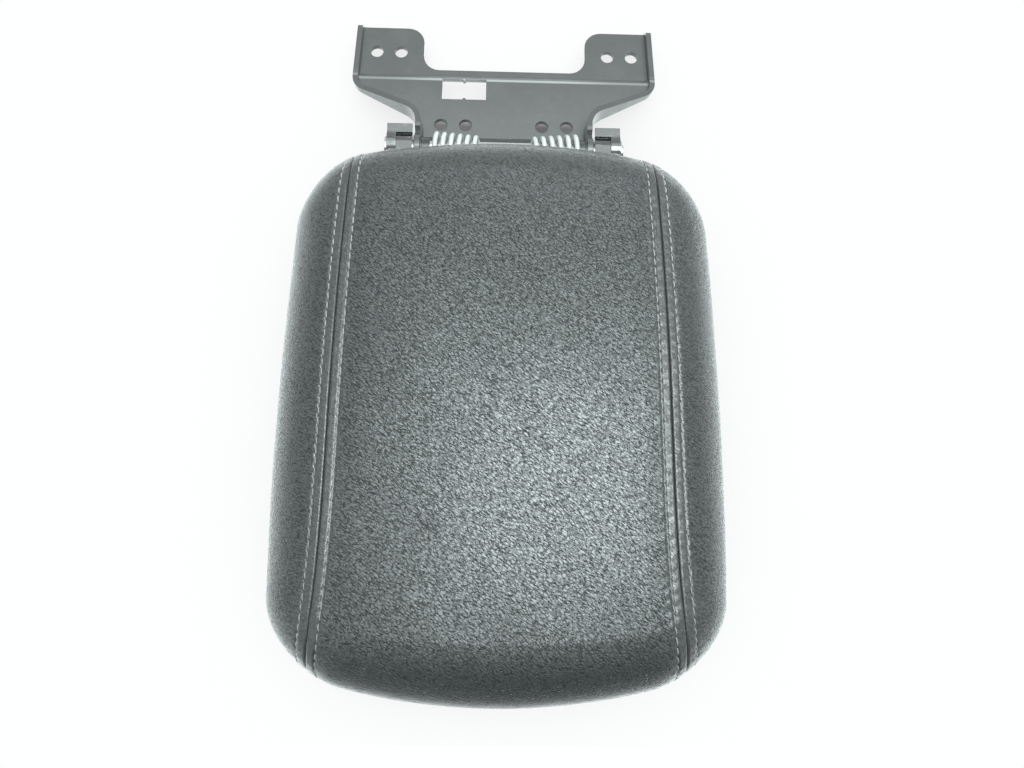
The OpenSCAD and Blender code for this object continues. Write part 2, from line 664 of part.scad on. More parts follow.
// Closing panel of the underside, with a shallow field, screw seats and bumper holes
module inner_panel() {
    color("#2a2c2e") in_frame() difference() {
        union() {
            translate([0, 0, panel_z + 0.8]) linear_extrude(panel_t - 0.8) polygon(outline(8, 3.2));
            translate([0, 0, panel_z]) linear_extrude(0.81) polygon(outline(9.2, 3.2));
            // Upstand that locates the panel inside the rim
            translate([0, 0, panel_top - 0.01]) linear_extrude(1.6) difference() {
                polygon(outline(10, 3.2));
                polygon(outline(12, 3.2));
            }
        }
        // Shallow field in the middle
        translate([0, 0, panel_z - 0.1]) linear_extrude(0.9) difference() {
            polygon(outline(24, 12));
            both_sides() translate([screw_x, -pad_front]) square([40, pad_len]);
            translate([-40, -pad_front]) square([80, 52]);
        }
        for (side = [-1, 1], y = screw_y) translate([side * screw_x, y, 0]) {
            cylinder(h = panel_z + 1.5, r = 3.8, $fn = 40);
            cylinder(h = 10, r = 1.9, $fn = 32);
        }
        for (side = [-1, 1], y = bumper_y)
            translate([side * bumper_x, y, 0]) cylinder(h = 10, r = 2.55, $fn = 32);
        // Room through the upstand for the knuckles' rear screws and the latch housing
        both_sides() translate([foot_screw_x - 6, foot_screw_y[1] - 6, panel_top])
            cube([12, 16, 5]);
        translate([-latch_half_w - 0.2, latch_front - 0.2, panel_top])
            cube([2 * latch_half_w + 0.4, 6, 5]);
        // Latch window
        translate([-24, latch_front + latch_wall, 0])
            cube([48, latch_rear - latch_front - 2 * latch_wall, 10]);
    }
}

module panel_screws() {
    color("#5b5e60") in_frame() for (side = [-1, 1], y = screw_y)
        translate([side * screw_x, y, panel_z + 0.1]) screw(3.5, 1.4, 1.55, 6.5);
}

// Rubber bumper pressed into the closing panel
module bumper(x, y) {
    color("#141516") in_frame() translate([x, y, 0]) {
        cylinder(h = 0.6, r1 = 5.4, r2 = 6, $fn = 48);
        translate([0, 0, 0.6]) cylinder(h = bumper_h - 0.6, r = 6, $fn = 48);
        translate([0, 0, bumper_h]) cylinder(h = panel_t, r = 2.5, $fn = 32);
        translate([0, 0, panel_top]) cylinder(h = 1.4, r1 = 3.2, r2 = 2.2, $fn = 32);
    }
}

module bumper_front_left() bumper(-bumper_x, bumper_y[1]);
module bumper_front_right() bumper(bumper_x, bumper_y[1]);
module bumper_rear_left() bumper(-bumper_x, bumper_y[0]);
module bumper_rear_right() bumper(bumper_x, bumper_y[0]);

// Latch housing: a pocket that is open below, where the bin's striker enters
module latch_housing() {
    low = panel_top + 0.05;
    high = base_z - 0.05;
    color("#1d1f20") in_frame() difference() {
        translate([-latch_half_w, latch_front, low])
            cube([2 * latch_half_w, latch_rear - latch_front, high - low]);
        translate([-latch_half_w + latch_wall, latch_front + latch_wall, low - 1])
            cube([2 * (latch_half_w - latch_wall), latch_rear - latch_front - 2 * latch_wall, high - low - 0.2]);
        translate([0, latch_y, latch_z]) rotate([0, 90, 0])
            cylinder(h = 80, r = latch_pin_r + 0.02, center = true, $fn = 32);
    }
}

// Latch lever: a finger paddle in front of its pivot and a hook behind it
module latch_lever() {
    paddle = [latch_front + latch_wall + 2.1, latch_y + 1.5];
    color("#222425") in_frame() difference() {
        union() {
            translate([0, latch_y, latch_z]) rotate([0, 90, 0])
                cylinder(h = 40, r = 2.7, center = true, $fn = 40);
            translate([-22, paddle[0], 2.2]) cube([44, paddle[1] - paddle[0], 2.2]);
            for (x = [-20, -7, 5, 18])
                translate([x, latch_y - 6, 4.3]) rotate([90, 0, 90]) linear_extrude(2)
                    polygon([[0, 0], [7.4, 0], [8.4, 3], [4.6, 5.4]]);
            // Hook
            translate([-7, latch_y, latch_z - 1.8]) cube([14, 11, 3.6]);
            translate([-7, latch_y + 8.2, 3.4]) cube([14, 2.8, 6]);
            translate([0, latch_y + 10.9, 3.4]) rotate([90, 0, 90]) linear_extrude(14, center = true)
                polygon([[0, 0], [0.4, 0], [1.3, 1.2], [1.3, 1.8], [0, 1.8]]);
        }
        translate([0, latch_y, latch_z]) rotate([0, 90, 0])
            cylinder(h = 80, r = latch_pin_r + 0.06, center = true, $fn = 32);
    }
}

module latch_pin() {
    color("#a6a9a8") in_frame() translate([0, latch_y, latch_z]) rotate([0, 90, 0])
        cylinder(h = 2 * latch_half_w, r = latch_pin_r, center = true, $fn = 32);
}

// Return spring of the latch, beside the lever on its pin
module latch_spring() {
    path = spring_path(25.6, 21, 2.5, 2.5, 5, 0, 0, 10);
    color("#c8cbca") in_frame() translate([0, latch_y, latch_z]) wire(path, 0.4, 6);
}

hinge_bracket();
ear_bush_left();
ear_bush_right();
hinge_pin();
pin_clip();
hinge_knuckle_left();
hinge_knuckle_right();
knuckle_screws();
torsion_spring_left();
torsion_spring_right();
lid_base();
foam_pad();
cover_centre_panel();
cover_left_panel();
cover_right_panel();
inner_panel();
panel_screws();
bumper_front_left();
bumper_front_right();
bumper_rear_left();
bumper_rear_right();
latch_housing();
latch_lever();
latch_pin();
latch_spring();
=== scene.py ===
# %% [markdown]
# # A padded console lid with its sprung hinge
#
# The object is the armrest lid of a car's centre console. It lies on its underside, and
# its steel mounting bracket is swung open behind it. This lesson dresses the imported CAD
# parts: it gives the pad a stitched leather cover, the springs a smooth coated wire and
# the bracket a sprayed paint, and then lights them like a plain photo.

import math

import bmesh
import bpy
import numpy as np
from mathutils import Matrix


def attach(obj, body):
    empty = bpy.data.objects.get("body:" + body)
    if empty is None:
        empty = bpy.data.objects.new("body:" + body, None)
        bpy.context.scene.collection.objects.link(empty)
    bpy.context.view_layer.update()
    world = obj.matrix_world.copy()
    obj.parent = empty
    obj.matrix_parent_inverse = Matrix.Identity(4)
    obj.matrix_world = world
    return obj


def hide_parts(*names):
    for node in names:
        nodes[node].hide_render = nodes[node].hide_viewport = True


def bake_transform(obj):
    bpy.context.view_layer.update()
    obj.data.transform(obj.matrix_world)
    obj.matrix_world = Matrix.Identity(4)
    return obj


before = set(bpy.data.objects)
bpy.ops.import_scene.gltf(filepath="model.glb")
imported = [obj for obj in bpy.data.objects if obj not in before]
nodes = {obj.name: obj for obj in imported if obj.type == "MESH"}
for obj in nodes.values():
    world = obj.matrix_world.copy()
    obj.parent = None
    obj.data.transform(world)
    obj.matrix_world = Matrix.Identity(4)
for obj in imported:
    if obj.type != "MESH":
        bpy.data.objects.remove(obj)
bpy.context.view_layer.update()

# %% [markdown]
# ## Camera
#
# The photo looks steeply down from the front, a little turned and rolled. The camera's
# place, its turns and its lens were solved from the bolt holes and the pad's outline, so
# every later piece can be judged against the photo without moving anything.

# %% The hinge's own place
MM = 0.001
PAD_LEN, PAD_GAP, TAB_Y, AXIS_Z = 251.4, 7.0, 74.5, 20.0
HINGE_Y = (PAD_GAP + PAD_LEN - TAB_Y) / 2


def in_metres(points):
    """Points in millimetres from the hinge's middle line, as metres in the shared frame."""
    return (np.asarray(points, float) + (0.0, HINGE_Y, 0.0)) * MM


print("hinge at Y =", HINGE_Y * MM, "m")

# %% The camera
SENSOR, LENS_PX, PHOTO_PX = 36.0, 871.8, 1024
CAMERA_AT = (-5.07, -213.3, 408.9)
CAMERA_TURNS = ((13.72, "X"), (-1.489, "Y"), (0.952, "Z"))

camera = bpy.data.objects.new("camera", bpy.data.cameras.new("camera"))
bpy.context.scene.collection.objects.link(camera)
bpy.context.scene.camera = camera
camera.data.sensor_width = SENSOR
camera.data.lens = LENS_PX / PHOTO_PX * SENSOR
camera.data.clip_start, camera.data.clip_end = 0.01, 20
place = Matrix.Translation(in_metres(CAMERA_AT))
for degrees, axis in CAMERA_TURNS:
    place = place @ Matrix.Rotation(math.radians(degrees), 4, axis)
camera.matrix_world = place
print("lens in mm:", round(camera.data.lens, 2))

# %% [markdown]
# ## Helpers for surfaces
#
# Nearly everything here is a grid of points: a function gives a place for each pair of
# parameters, numpy works the whole grid out at once, and one call makes it a mesh. A
# closed shell is such a grid with a second one inside it and a wall round the edge.

# %% Grids
def add_piece(name, points, faces):
    """A smooth mesh object at the origin, from points in metres and lists of corners."""
    mesh = bpy.data.meshes.new(name)
    mesh.from_pydata(points, [], faces)
    mesh.validate()
    mesh.polygons.foreach_set("use_smooth", np.ones(len(mesh.polygons), bool))
    mesh.update()
    piece = bpy.data.objects.new(name, mesh)
    bpy.context.scene.collection.objects.link(piece)
    return piece


def grid_quads(rows, cols, first=0, wrap=False):
    """Quads between neighbouring rows and columns of a grid; wrap joins the last column."""
    across = np.arange(cols if wrap else cols - 1)
    a = first + np.arange(rows - 1)[:, None] * cols + across[None, :]
    b = first + np.arange(rows - 1)[:, None] * cols + (across[None, :] + 1) % cols
    return np.stack([a, b, b + cols, a + cols], -1).reshape(-1, 4)


# %% Closed shells
def loop_of(rows, cols):
    """The indices round the edge of a grid, in order."""
    top = np.arange(cols)
    right = np.arange(1, rows) * cols + cols - 1
    bottom = (rows - 1) * cols + np.arange(cols - 2, -1, -1)
    left = np.arange(rows - 2, 0, -1) * cols
    return np.concatenate([top, right, bottom, left])


def closed_shell(name, outer, inner):
    """A piece from an outer grid, an inner one turned over, and a rim that joins them."""
    rows, cols = outer.shape[:2]
    n = rows * cols
    edge = loop_of(rows, cols)
    after = np.roll(edge, -1)
    rim = np.stack([edge, edge + n, after + n, after], -1)
    back = grid_quads(rows, cols, n)[:, ::-1]
    quads = np.concatenate([grid_quads(rows, cols), back, rim])
    points = np.concatenate([outer.reshape(-1, 3), inner.reshape(-1, 3)])
    return add_piece(name, in_metres(points).tolist(), quads.tolist())


# %% Wires and threads
def tube(path, normals, radius, sides):
    """A round wire: rings of points about a path, and a point to close each end.

    Each ring is the path's point plus the radius times the cosine of the angle along the
    normal and the sine along the other direction across the path. The end points stand
    half a radius beyond the path.
    """
    along = np.gradient(path, axis=0)
    along /= np.linalg.norm(along, axis=1, keepdims=True)
    normal = normals - along * np.sum(normals * along, 1, keepdims=True)
    normal /= np.linalg.norm(normal, axis=1, keepdims=True)
    other = np.cross(along, normal)
    angle = np.linspace(0, 2 * np.pi, sides, endpoint=False)[None, :, None]
    radius = np.broadcast_to(np.asarray(radius, float), (len(path),))[:, None, None]
    round_it = normal[:, None] * np.cos(angle) + other[:, None] * np.sin(angle)
    tips = np.stack([path[0] - along[0] * radius[0, 0] * 0.5,
                     path[-1] + along[-1] * radius[-1, 0] * 0.5])
    return path[:, None] + radius * round_it, tips


def tube_piece(name, tubes):
    """One piece from tubes of rings, each closed by a fan of triangles at both ends."""
    points, quads, first = [], [], 0
    for rings, tips in tubes:
        rows, cols = rings.shape[:2]
        points += [rings.reshape(-1, 3), tips]
        quads.append(grid_quads(rows, cols, first, wrap=True))
        tip = np.full(cols, first + rows * cols)
        start = first + np.arange(cols)
        end = start + (rows - 1) * cols
        quads.append(np.stack([tip, np.roll(start, -1), start, start], -1))
        quads.append(np.stack([tip + 1, end, np.roll(end, -1), np.roll(end, -1)], -1))
        first += rows * cols + 2
    faces = [tuple(dict.fromkeys(quad)) for part in quads for quad in part.tolist()]
    return add_piece(name, in_metres(np.concatenate(points)).tolist(), faces)


# %% [markdown]
# ## The pad's form
#
# The lid is a rounded rectangle seen from above. Its sides bow a little, its front and
# rear edges are shallow arches, and its top is a crown that rolls over into quarter-
# ellipse shoulders. These functions are the same ones that the CAD solids follow, so the
# cover fits the parts under it. s runs across and r along, in millimetres.

# %% Two ways from one value to another
def mix(a, b, t):
    """Goes from a to b as t goes from 0 to 1."""
    return a + (b - a) * t


def smooth(t):
    """An S-curve from 0 to 1: three times the square less twice the cube."""
    t = np.clip(t, 0, 1)
    return t * t * (3 - 2 * t)


# %% The outline in plan
HALF_W, HALF_L, CORNER_R = 98.5, PAD_LEN / 2, 32.0
TAPER, BOW, FRONT_ARCH_R, REAR_ARCH_R = 0.012, 0.029, 280.0, 400.0
PAD_MID = -PAD_GAP - HALF_L
TINY = 1e-9


def corner(s, r):
    """The vector from the corner's centre, nought along the straight edges."""
    return (np.maximum(np.abs(s) - HALF_W + CORNER_R, 0),
            np.maximum(np.abs(r) - HALF_L + CORNER_R, 0))


def depth(s, r):
    """How far a place is inside the outline."""
    inside = np.maximum(np.abs(s) - HALF_W, np.abs(r) - HALF_L) + CORNER_R
    return CORNER_R - np.hypot(*corner(s, r)) - np.minimum(inside, 0)


def rearness(s, r):
    """1 at the rear edge and 0 at the sides and front, as the squared share of r."""
    cs, cr = corner(s, r)
    n = np.hypot(cs, cr)
    return np.where((r < 0) | (n == 0), 0, (cr / np.maximum(n, TINY)) ** 2)


def spread(s, r):
    """The real place in plan: the sides taper and bow, the ends arch."""
    u = r / HALF_L
    arch = np.where(r < 0, FRONT_ARCH_R, REAR_ARCH_R)
    x = s * (1 - TAPER * u - BOW * u * u)
    return x, PAD_MID + r * (1 - s * s / (2 * arch * HALF_L))


def reach(s):
    """Half-length of the outline at s."""
    c = np.maximum(np.abs(s) - HALF_W + CORNER_R, 0)
    return HALF_L - CORNER_R + np.sqrt(np.maximum(CORNER_R ** 2 - c ** 2, 0))


print("pad from", PAD_MID - HALF_L, "to", PAD_MID + HALF_L, "mm behind the hinge")

# %% The crown and the seams' lines
CROWN_Z, FALL_X, FALL_Y = 55.0, 5.0, 5.0
SIDE_RIM_Z, REAR_RIM_Z, SIDE_SHOULDER, REAR_SHOULDER = 26.0, 35.0, 27.0, 19.0
SEAM_S, SEAM_FLARE = 72.0, 8.0


def crown(s, r):
    """The pad's surface: a crown less a quarter ellipse that starts at the shoulder."""
    top = CROWN_Z - FALL_X * (s / HALF_W) ** 2 - FALL_Y * (r / HALF_L) ** 2
    b = rearness(s, r)
    rim = mix(SIDE_RIM_Z, REAR_RIM_Z, b)
    f = np.clip(depth(s, r) / mix(SIDE_SHOULDER, REAR_SHOULDER, b), 0, 1)
    z = top - (top - rim) * (1 - np.sqrt(1 - (1 - f) ** 2))
    return np.stack([*spread(s, r), z], -1)


def seam_at(v):
    """The seam's distance from the middle; it spreads with the cube of v at the front."""
    return SEAM_S + SEAM_FLARE * np.maximum(0, -v) ** 3


# %% The hem below the widest line
HEM_ROWS, HEM_LOW_S, HEM_HIGH_S = 16, 70.0, 62.0
SIDE_HEM = np.array([[0, 26], [0.7, 19], [2.2, 12.5], [4.2, 7.6], [6, 5.6], [8, 5.3]])
REAR_HEM = np.array([[0, 35], [1.0, 32.8], [2.2, 31.2], [3.6, 30.2], [5.4, 29.6], [8, 29.4]])


def softened(steps, count):
    """A smooth curve through a hem's steps: cubic pieces with averaged slopes."""
    slope = np.gradient(steps, axis=0)
    u = np.linspace(0, len(steps) - 1, count)
    k = np.minimum(u.astype(int), len(steps) - 2)
    f = (u - k)[:, None]
    a, b, da, db = steps[k], steps[k + 1], slope[k], slope[k + 1]
    return ((2 * f ** 3 - 3 * f ** 2 + 1) * a + (f ** 3 - 2 * f ** 2 + f) * da
            + (3 * f ** 2 - 2 * f ** 3) * b + (f ** 3 - f ** 2) * db)


SIDE_CURVE, REAR_CURVE = softened(SIDE_HEM, HEM_ROWS + 1), softened(REAR_HEM, HEM_ROWS + 1)


def hem(s, r):
    """Rows of points below the pad's widest line, for edge places s and r.

    Each row moves in by the step's inset and takes its height. Behind, the steps mix
    from the side's to the rear's, so that the cover stops above the hinge.
    """
    cs, cr = corner(s, r)
    n = np.maximum(np.hypot(cs, cr), TINY)
    high = np.where(r < 0, 0, smooth((HEM_LOW_S - np.abs(s)) / (HEM_LOW_S - HEM_HIGH_S)))
    rows = []
    for k in range(1, HEM_ROWS + 1):
        inset = mix(SIDE_CURVE[k, 0], REAR_CURVE[k, 0], high)
        z = mix(SIDE_CURVE[k, 1], REAR_CURVE[k, 1], high)
        first = smooth(1 - k / (HEM_ROWS / 5))
        z = mix(z, mix(SIDE_CURVE[k, 1], REAR_CURVE[k, 1], rearness(s, r)), first)
        x, y = spread(s - np.sign(s) * cs / n * inset, r - np.sign(r) * cr / n * inset)
        rows.append(np.stack([x, y, z], -1))
    return np.stack(rows)


def down_the_hem(top, s, r):
    """The hem's rows for an edge of the top grid, and the way down it from that edge."""
    low = hem(s, r)
    steps = np.linalg.norm(np.diff(np.concatenate([top[None], low]), axis=0), axis=-1)
    return low, np.cumsum(steps, axis=0)


print("hem:", HEM_ROWS, "rows down to", SIDE_HEM[-1, 1], "mm at the sides")

# %% [markdown]
# ## The stitched cover
#
# The cover is sewn from three panels. At each seam both edges are turned under, which
# makes a narrow groove with a soft welt on each side, and a row of topstitching holds
# each welt down. The leather dips under every stitch and puckers a little between them.
# All of that is one height, added along the surface's normal, that depends only on the
# distance from the seam and the way along it. A cloth simulation would blur such a
# narrow seam, and the pad is a tight moulded form, so its shape is worked out directly.

# %% The way along a seam
ROWS, TRACK_POINTS = 360, 4001


def running_length(steps):
    """The running sum of a path's pieces, from 0."""
    return np.concatenate([[0], np.cumsum(steps)])


def seam_track():
    """Shares v from front to rear at even steps of the seam, and its running length.

    The seam's line is measured on the crown at many shares, and the even steps are read
    back from the running length.
    """
    v = np.sin(np.linspace(-np.pi / 2, np.pi / 2, TRACK_POINTS))
    line = crown(seam_at(v), v * reach(seam_at(v)))
    run = running_length(np.linalg.norm(np.diff(line, axis=0), axis=1))
    return np.interp(np.linspace(0, run[-1], ROWS), run, v), v, run


row_v, track_v, track_run = seam_track()
print("seam length over the crown:", round(float(track_run[-1]), 1), "mm")


def way(v):
    """Length along the seam, in millimetres, at a share v."""
    return np.interp(v, track_v, track_run)


# %% The seam's relief
PITCH, STITCH_D = 4.3, 4.1
ROLL_R, ROLL_DEPTH, WELT, WELT_PAST = 1.0, 1.1, 0.3, 0.3
DIP, DIP_W, VALLEY, VALLEY_W = 0.4, 0.6, 0.6, 10.0
PUCKER_LEFT, PUCKER_RIGHT, PUCKER_W, GROOVE_W = 0.06, 0.1, 2.6, 0.8
SWELL = 0.12


def bell(d, width):
    """A bell curve: the exponential of minus the square of distance over width."""
    return np.exp(-(d / width) ** 2)


def relief(d, t, pucker):
    """Height of the leather at distance d from a seam and t along it.

    The turned edge is a quarter circle, the welt is a step that ends at the stitching,
    the stitching is a bell-shaped dip that deepens at each needle hole, and a wide bell
    draws the foam down. Puckers are waves of the stitch's pitch that fade with distance.
    """
    near = np.clip(d, 0, ROLL_R) / ROLL_R
    edge = -ROLL_DEPTH * (1 - np.sqrt(1 - (1 - near) ** 2))
    welt = WELT * smooth(STITCH_D + WELT_PAST - d)
    turns = 2 * np.pi * t / PITCH
    dip = -DIP * (0.6 + 0.4 * np.cos(turns)) * bell(d - STITCH_D, DIP_W)
    wave = np.sin(turns + 0.35 * d) + 0.8 * np.sin(turns / 2.7 + 1.3)
    wrinkle = pucker * wave * (bell(d - STITCH_D, PUCKER_W) - 0.3 * bell(d, GROOVE_W))
    return edge + welt + dip - VALLEY * bell(d, VALLEY_W) + wrinkle


def swell(x, y):
    """Slow unevenness of the foam, a few tenths of a millimetre, from crossing waves."""
    return SWELL * (np.sin(x / 17.0 + 0.8) * np.sin(y / 23.0 + 2.1)
                    + 0.7 * np.sin(x / 9.0 + y / 31.0) * np.sin(y / 13.0 + 0.4))


print("leather between stitches:", round(float(relief(STITCH_D, PITCH / 2, 0.0)), 2), "mm")

# %% Leather with a back
THICK = 1.1


def dressed(grid, d, t):
    """The outer grid, raised by relief and swell along its normals, and its back.

    A normal is the cross product of the grid's two directions. A row that is one point
    takes the mean normal of its neighbour. The right seam puckers more than the left.
    """
    normal = np.cross(np.gradient(grid, axis=1), np.gradient(grid, axis=0))
    size = np.linalg.norm(normal, axis=-1, keepdims=True)
    normal = normal / np.maximum(size, 1e-12)
    for end, twin in ((0, 1), (-1, -2)):
        if size[end, : grid.shape[1] - HEM_ROWS - 1].max() < 1e-6:
            mean = normal[twin].mean(axis=0)
            normal[end] = np.where(size[end] < 1e-6, mean / np.linalg.norm(mean), normal[end])
    x, y = grid[..., 0], grid[..., 1]
    height = relief(d, t, np.where(x > 0, PUCKER_RIGHT, PUCKER_LEFT)) + swell(x, y)
    back = np.minimum(height, 0) - THICK
    return grid + normal * height[..., None], grid + normal * back[..., None]


def leather_panel(name, grid, d, t):
    """A closed panel that also keeps each point's distance from the seam."""
    panel = closed_shell(name, *dressed(grid, d, t))
    attribute = panel.data.attributes.new("seam_distance", "FLOAT", "POINT")
    attribute.data.foreach_set("value", np.tile(d.ravel(), 2).astype(np.float32))
    print(name, len(panel.data.polygons), "faces")
    return panel


# %% [markdown]
# The middle panel's columns keep set distances from the seams, close together where the
# relief is fine and wider apart in the middle. Its rows are evenly spaced along the
# seam's real length, so each stitch gets the same number of them, and they go on down
# the hem at both ends.

# %% The middle panel
FINE = np.concatenate([np.arange(0, 1.2, 0.2), np.arange(1.2, 6.0, 0.4),
                       np.arange(6.0, 14.1, 1.0)])
MIDDLE_COLUMNS = 30


def centre_surface():
    """A grid from the front hem over the crown to the rear hem, with distance and way."""
    v = row_v[:, None]
    seam = seam_at(v)
    middle = np.linspace(1, 0, MIDDLE_COLUMNS)[None, 1:] * (seam - FINE[-1])
    half = np.concatenate([seam - FINE[None, :], middle], axis=1)
    s = np.concatenate([-half, half[:, -2::-1]], axis=1)
    r = v * reach(s)
    top = crown(s, r)
    front, front_way = down_the_hem(top[0], s[0], r[0])
    rear, rear_way = down_the_hem(top[-1], s[-1], r[-1])
    grid = np.concatenate([front[::-1], top, rear])
    d = seam - np.abs(s)
    d = np.concatenate([np.repeat(d[:1], HEM_ROWS, 0), d, np.repeat(d[-1:], HEM_ROWS, 0)])
    t = np.broadcast_to(way(v), s.shape)
    t = np.concatenate([t[:1] - front_way[::-1], t, t[-1:] + rear_way])
    return grid, d, t


covers = [leather_panel("cover_centre", *centre_surface())]

# %% [markdown]
# A side panel is a fan of rows. Each row starts on the seam, runs over the shoulder to
# its own place on the outline, and goes on down the hem. The first and last rows shrink
# to a point at the seam's ends, so the panel has no square corners to hide.

# %% The side panels
ARC_POINTS, EVEN_SHARE, EVEN_COLUMNS, SHOULDER_COLUMNS = 200, 0.28, 26, 30
POLE_GAP = 1e-6


def rim_track():
    """Places s and r along the outline from one end of the seam to the other, evenly spaced.

    Two arcs of the corner radius are joined by a straight line, and the running length
    of that path is divided into equal steps.
    """
    rx, ry = HALF_W - CORNER_R, HALF_L - CORNER_R
    front, rear = (np.arcsin((seam_at(v) - rx) / CORNER_R) for v in (-1.0, 1.0))
    front = np.linspace(front, np.pi / 2, ARC_POINTS)
    rear = np.linspace(np.pi / 2, rear, ARC_POINTS)
    s = rx + CORNER_R * np.sin(np.concatenate([front, rear]))
    r = np.concatenate([-ry - CORNER_R * np.cos(front), ry + CORNER_R * np.cos(rear)])
    run = running_length(np.hypot(np.diff(s), np.diff(r)))
    even = np.linspace(0, run[-1], ROWS)
    return np.interp(even, run, s), np.interp(even, run, r)


def side_surface(sign):
    """Rows from the seam to the outline and down the hem, with distance and way.

    Along a row the share grows evenly at first, where the relief is fine, and then as
    the sine of an angle, so that points crowd where the shoulder turns down.
    """
    rim_s, rim_r = rim_track()
    start = seam_at(row_v)
    angle = np.linspace(0, np.pi / 2, SHOULDER_COLUMNS)
    share = np.concatenate([np.linspace(0, EVEN_SHARE, EVEN_COLUMNS)[:-1],
                            EVEN_SHARE + (1 - EVEN_SHARE) * np.sin(angle)])
    s = mix(start[:, None], rim_s[:, None], share[None, :])
    r = mix((row_v * reach(start))[:, None], rim_r[:, None], share[None, :])
    top = crown(s, r)
    low, low_way = down_the_hem(top[:, -1], rim_s, rim_r)
    v = np.clip(r / reach(s), -1, 1)
    d = np.maximum(s - seam_at(v), 0)
    d = np.concatenate([d, np.repeat(d[:, -1:], HEM_ROWS, 1)], axis=1)
    end = np.sign(rim_r) * smooth((np.abs(rim_r) - HALF_L + CORNER_R) / CORNER_R)
    t = np.concatenate([way(v), way(v[:, -1:]) + end[:, None] * low_way.T], axis=1)
    grid = np.concatenate([top, np.moveaxis(low, 0, 1)], axis=1) * (sign, 1, 1)
    return (grid, d, t) if sign > 0 else (grid[::-1], d[::-1], t[::-1])


def merged(piece):
    """Joins points that coincide and drops faces with no area, so poles are closed."""
    work = bmesh.new()
    work.from_mesh(piece.data)
    bmesh.ops.remove_doubles(work, verts=work.verts, dist=POLE_GAP)
    bmesh.ops.dissolve_degenerate(work, edges=work.edges, dist=POLE_GAP)
    work.to_mesh(piece.data)
    work.free()
    return piece


for name, sign in (("cover_left", -1.0), ("cover_right", 1.0)):
    covers.append(merged(leather_panel(name, *side_surface(sign))))

# %% The cover on its body
for piece, node in zip(covers, ("cover_centre_panel", "cover_left_panel", "cover_right_panel")):
    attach(piece, "lid")
    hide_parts(node)
print("padded panels:", len(covers))

# %% [markdown]
# Under the cover is a block of moulded foam. Nobody sees it, but the cover must rest on
# something, so it is a closed form: rings of the outline, drawn in from the cover by a
# little more than the leather's thickness, and a flat underside on the base plate.

# %% The foam
FOAM_IN, FOAM_FOOT, FOAM_SIDES, FOAM_RINGS = 3.4, 15.15, 160, 26
KNEE_IN, KNEE_IN_REAR, KNEE_Z, KNEE_Z_REAR = 1.0, 11.0, 18.0, 31.0
KNEE_S, KNEE_RUN = HEM_LOW_S + 8, 16


def foam_rings():
    """Rings of the outline at growing shares, then down the sides to the base plate."""
    rx, ry, radius = HALF_W - CORNER_R, HALF_L - CORNER_R, CORNER_R - FOAM_IN
    angle = np.linspace(0, np.pi / 2, 16)
    c, q = radius * np.cos(angle), radius * np.sin(angle)
    s = np.concatenate([rx + c, -rx - q, -rx - c, rx + q])
    r = np.concatenate([ry + q, ry + c, -ry - q, -ry - c])
    closed = np.append(np.arange(len(s)), 0)
    dense = np.linspace(0, len(s), FOAM_SIDES + 1)[:-1]
    s, r = (np.interp(dense, np.arange(len(s) + 1), k[closed]) for k in (s, r))
    share = np.sin(np.linspace(0.04, 1, FOAM_RINGS) * np.pi / 2)[:, None]
    top = crown(s * share, r * share) - (0, 0, FOAM_IN)
    x, y = spread(s, r)
    high = rearness(s, r) * smooth((KNEE_S - np.abs(s)) / KNEE_RUN)
    foot_x, foot_y = spread(s - np.sign(s) * KNEE_IN,
                            r - np.sign(r) * mix(KNEE_IN, KNEE_IN_REAR, high))
    knee = np.stack([foot_x, foot_y, mix(KNEE_Z, KNEE_Z_REAR, high)], -1)
    foot = np.stack([foot_x, foot_y, np.full_like(s, FOAM_FOOT)], -1)
    return np.concatenate([top, knee[None], foot[None]])


peak = crown(np.zeros(1), np.zeros(1))[0] - (0, 0, FOAM_IN)
tips = np.array([peak, [0, PAD_MID, FOAM_FOOT]])
foam_core = tube_piece("foam_core", [(foam_rings()[:, ::-1], tips)])
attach(foam_core, "lid")
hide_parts("foam_pad")
print("foam:", len(foam_core.data.polygons), "faces")

# %% [markdown]
# ## The topstitching
#
# Each stitch is a short piece of thick thread that comes up through one needle hole and
# goes down through the next. It is a small tube that follows the leather, stands a
# little proud in its middle and dives below the surface at both ends.

# %% Lines for the thread
LINE_POINTS, LINE_GAP = 3000, 0.1


def row_line(sign, offset):
    """A dense line on the leather beside a seam, its normals and the way along it.

    The normal is the cross product of the way along and the way across, which is found
    from two neighbouring lines a tenth of a millimetre to each side.
    """
    v = np.sin(np.linspace(-np.pi / 2, np.pi / 2, LINE_POINTS))

    def line(extra):
        s = seam_at(v) + offset + extra
        r = v * reach(s)
        top = crown(s, r)
        (front, front_way), (rear, rear_way) = (
            down_the_hem(top[end], s[end], r[end]) for end in (slice(0, 1), slice(-1, None)))
        points = np.concatenate([front[::-1, 0], top, rear[:, 0]])
        run = np.concatenate([way(v[0]) - front_way[::-1, 0], way(v),
                              way(v[-1]) + rear_way[:, 0]])
        return points * (sign, 1, 1), run

    (middle, run), (left, _), (right, _) = line(0.0), line(-LINE_GAP), line(LINE_GAP)
    normal = np.cross(right - left, np.gradient(middle, axis=0)) * sign
    normal /= np.maximum(np.linalg.norm(normal, axis=1, keepdims=True), 1e-12)
    return middle, normal, run


print("thread lines stand", STITCH_D, "mm from each seam")

# %% Threads along the welts
THREAD_R, STITCH_LEN, THREAD_SIDES, THREAD_RINGS = 0.31, 3.4, 7, 9
ROW_MARGIN, LIFT, SUNK, SLANT, UNEVEN = 3.0, 0.42, 0.34, 0.16, 0.12


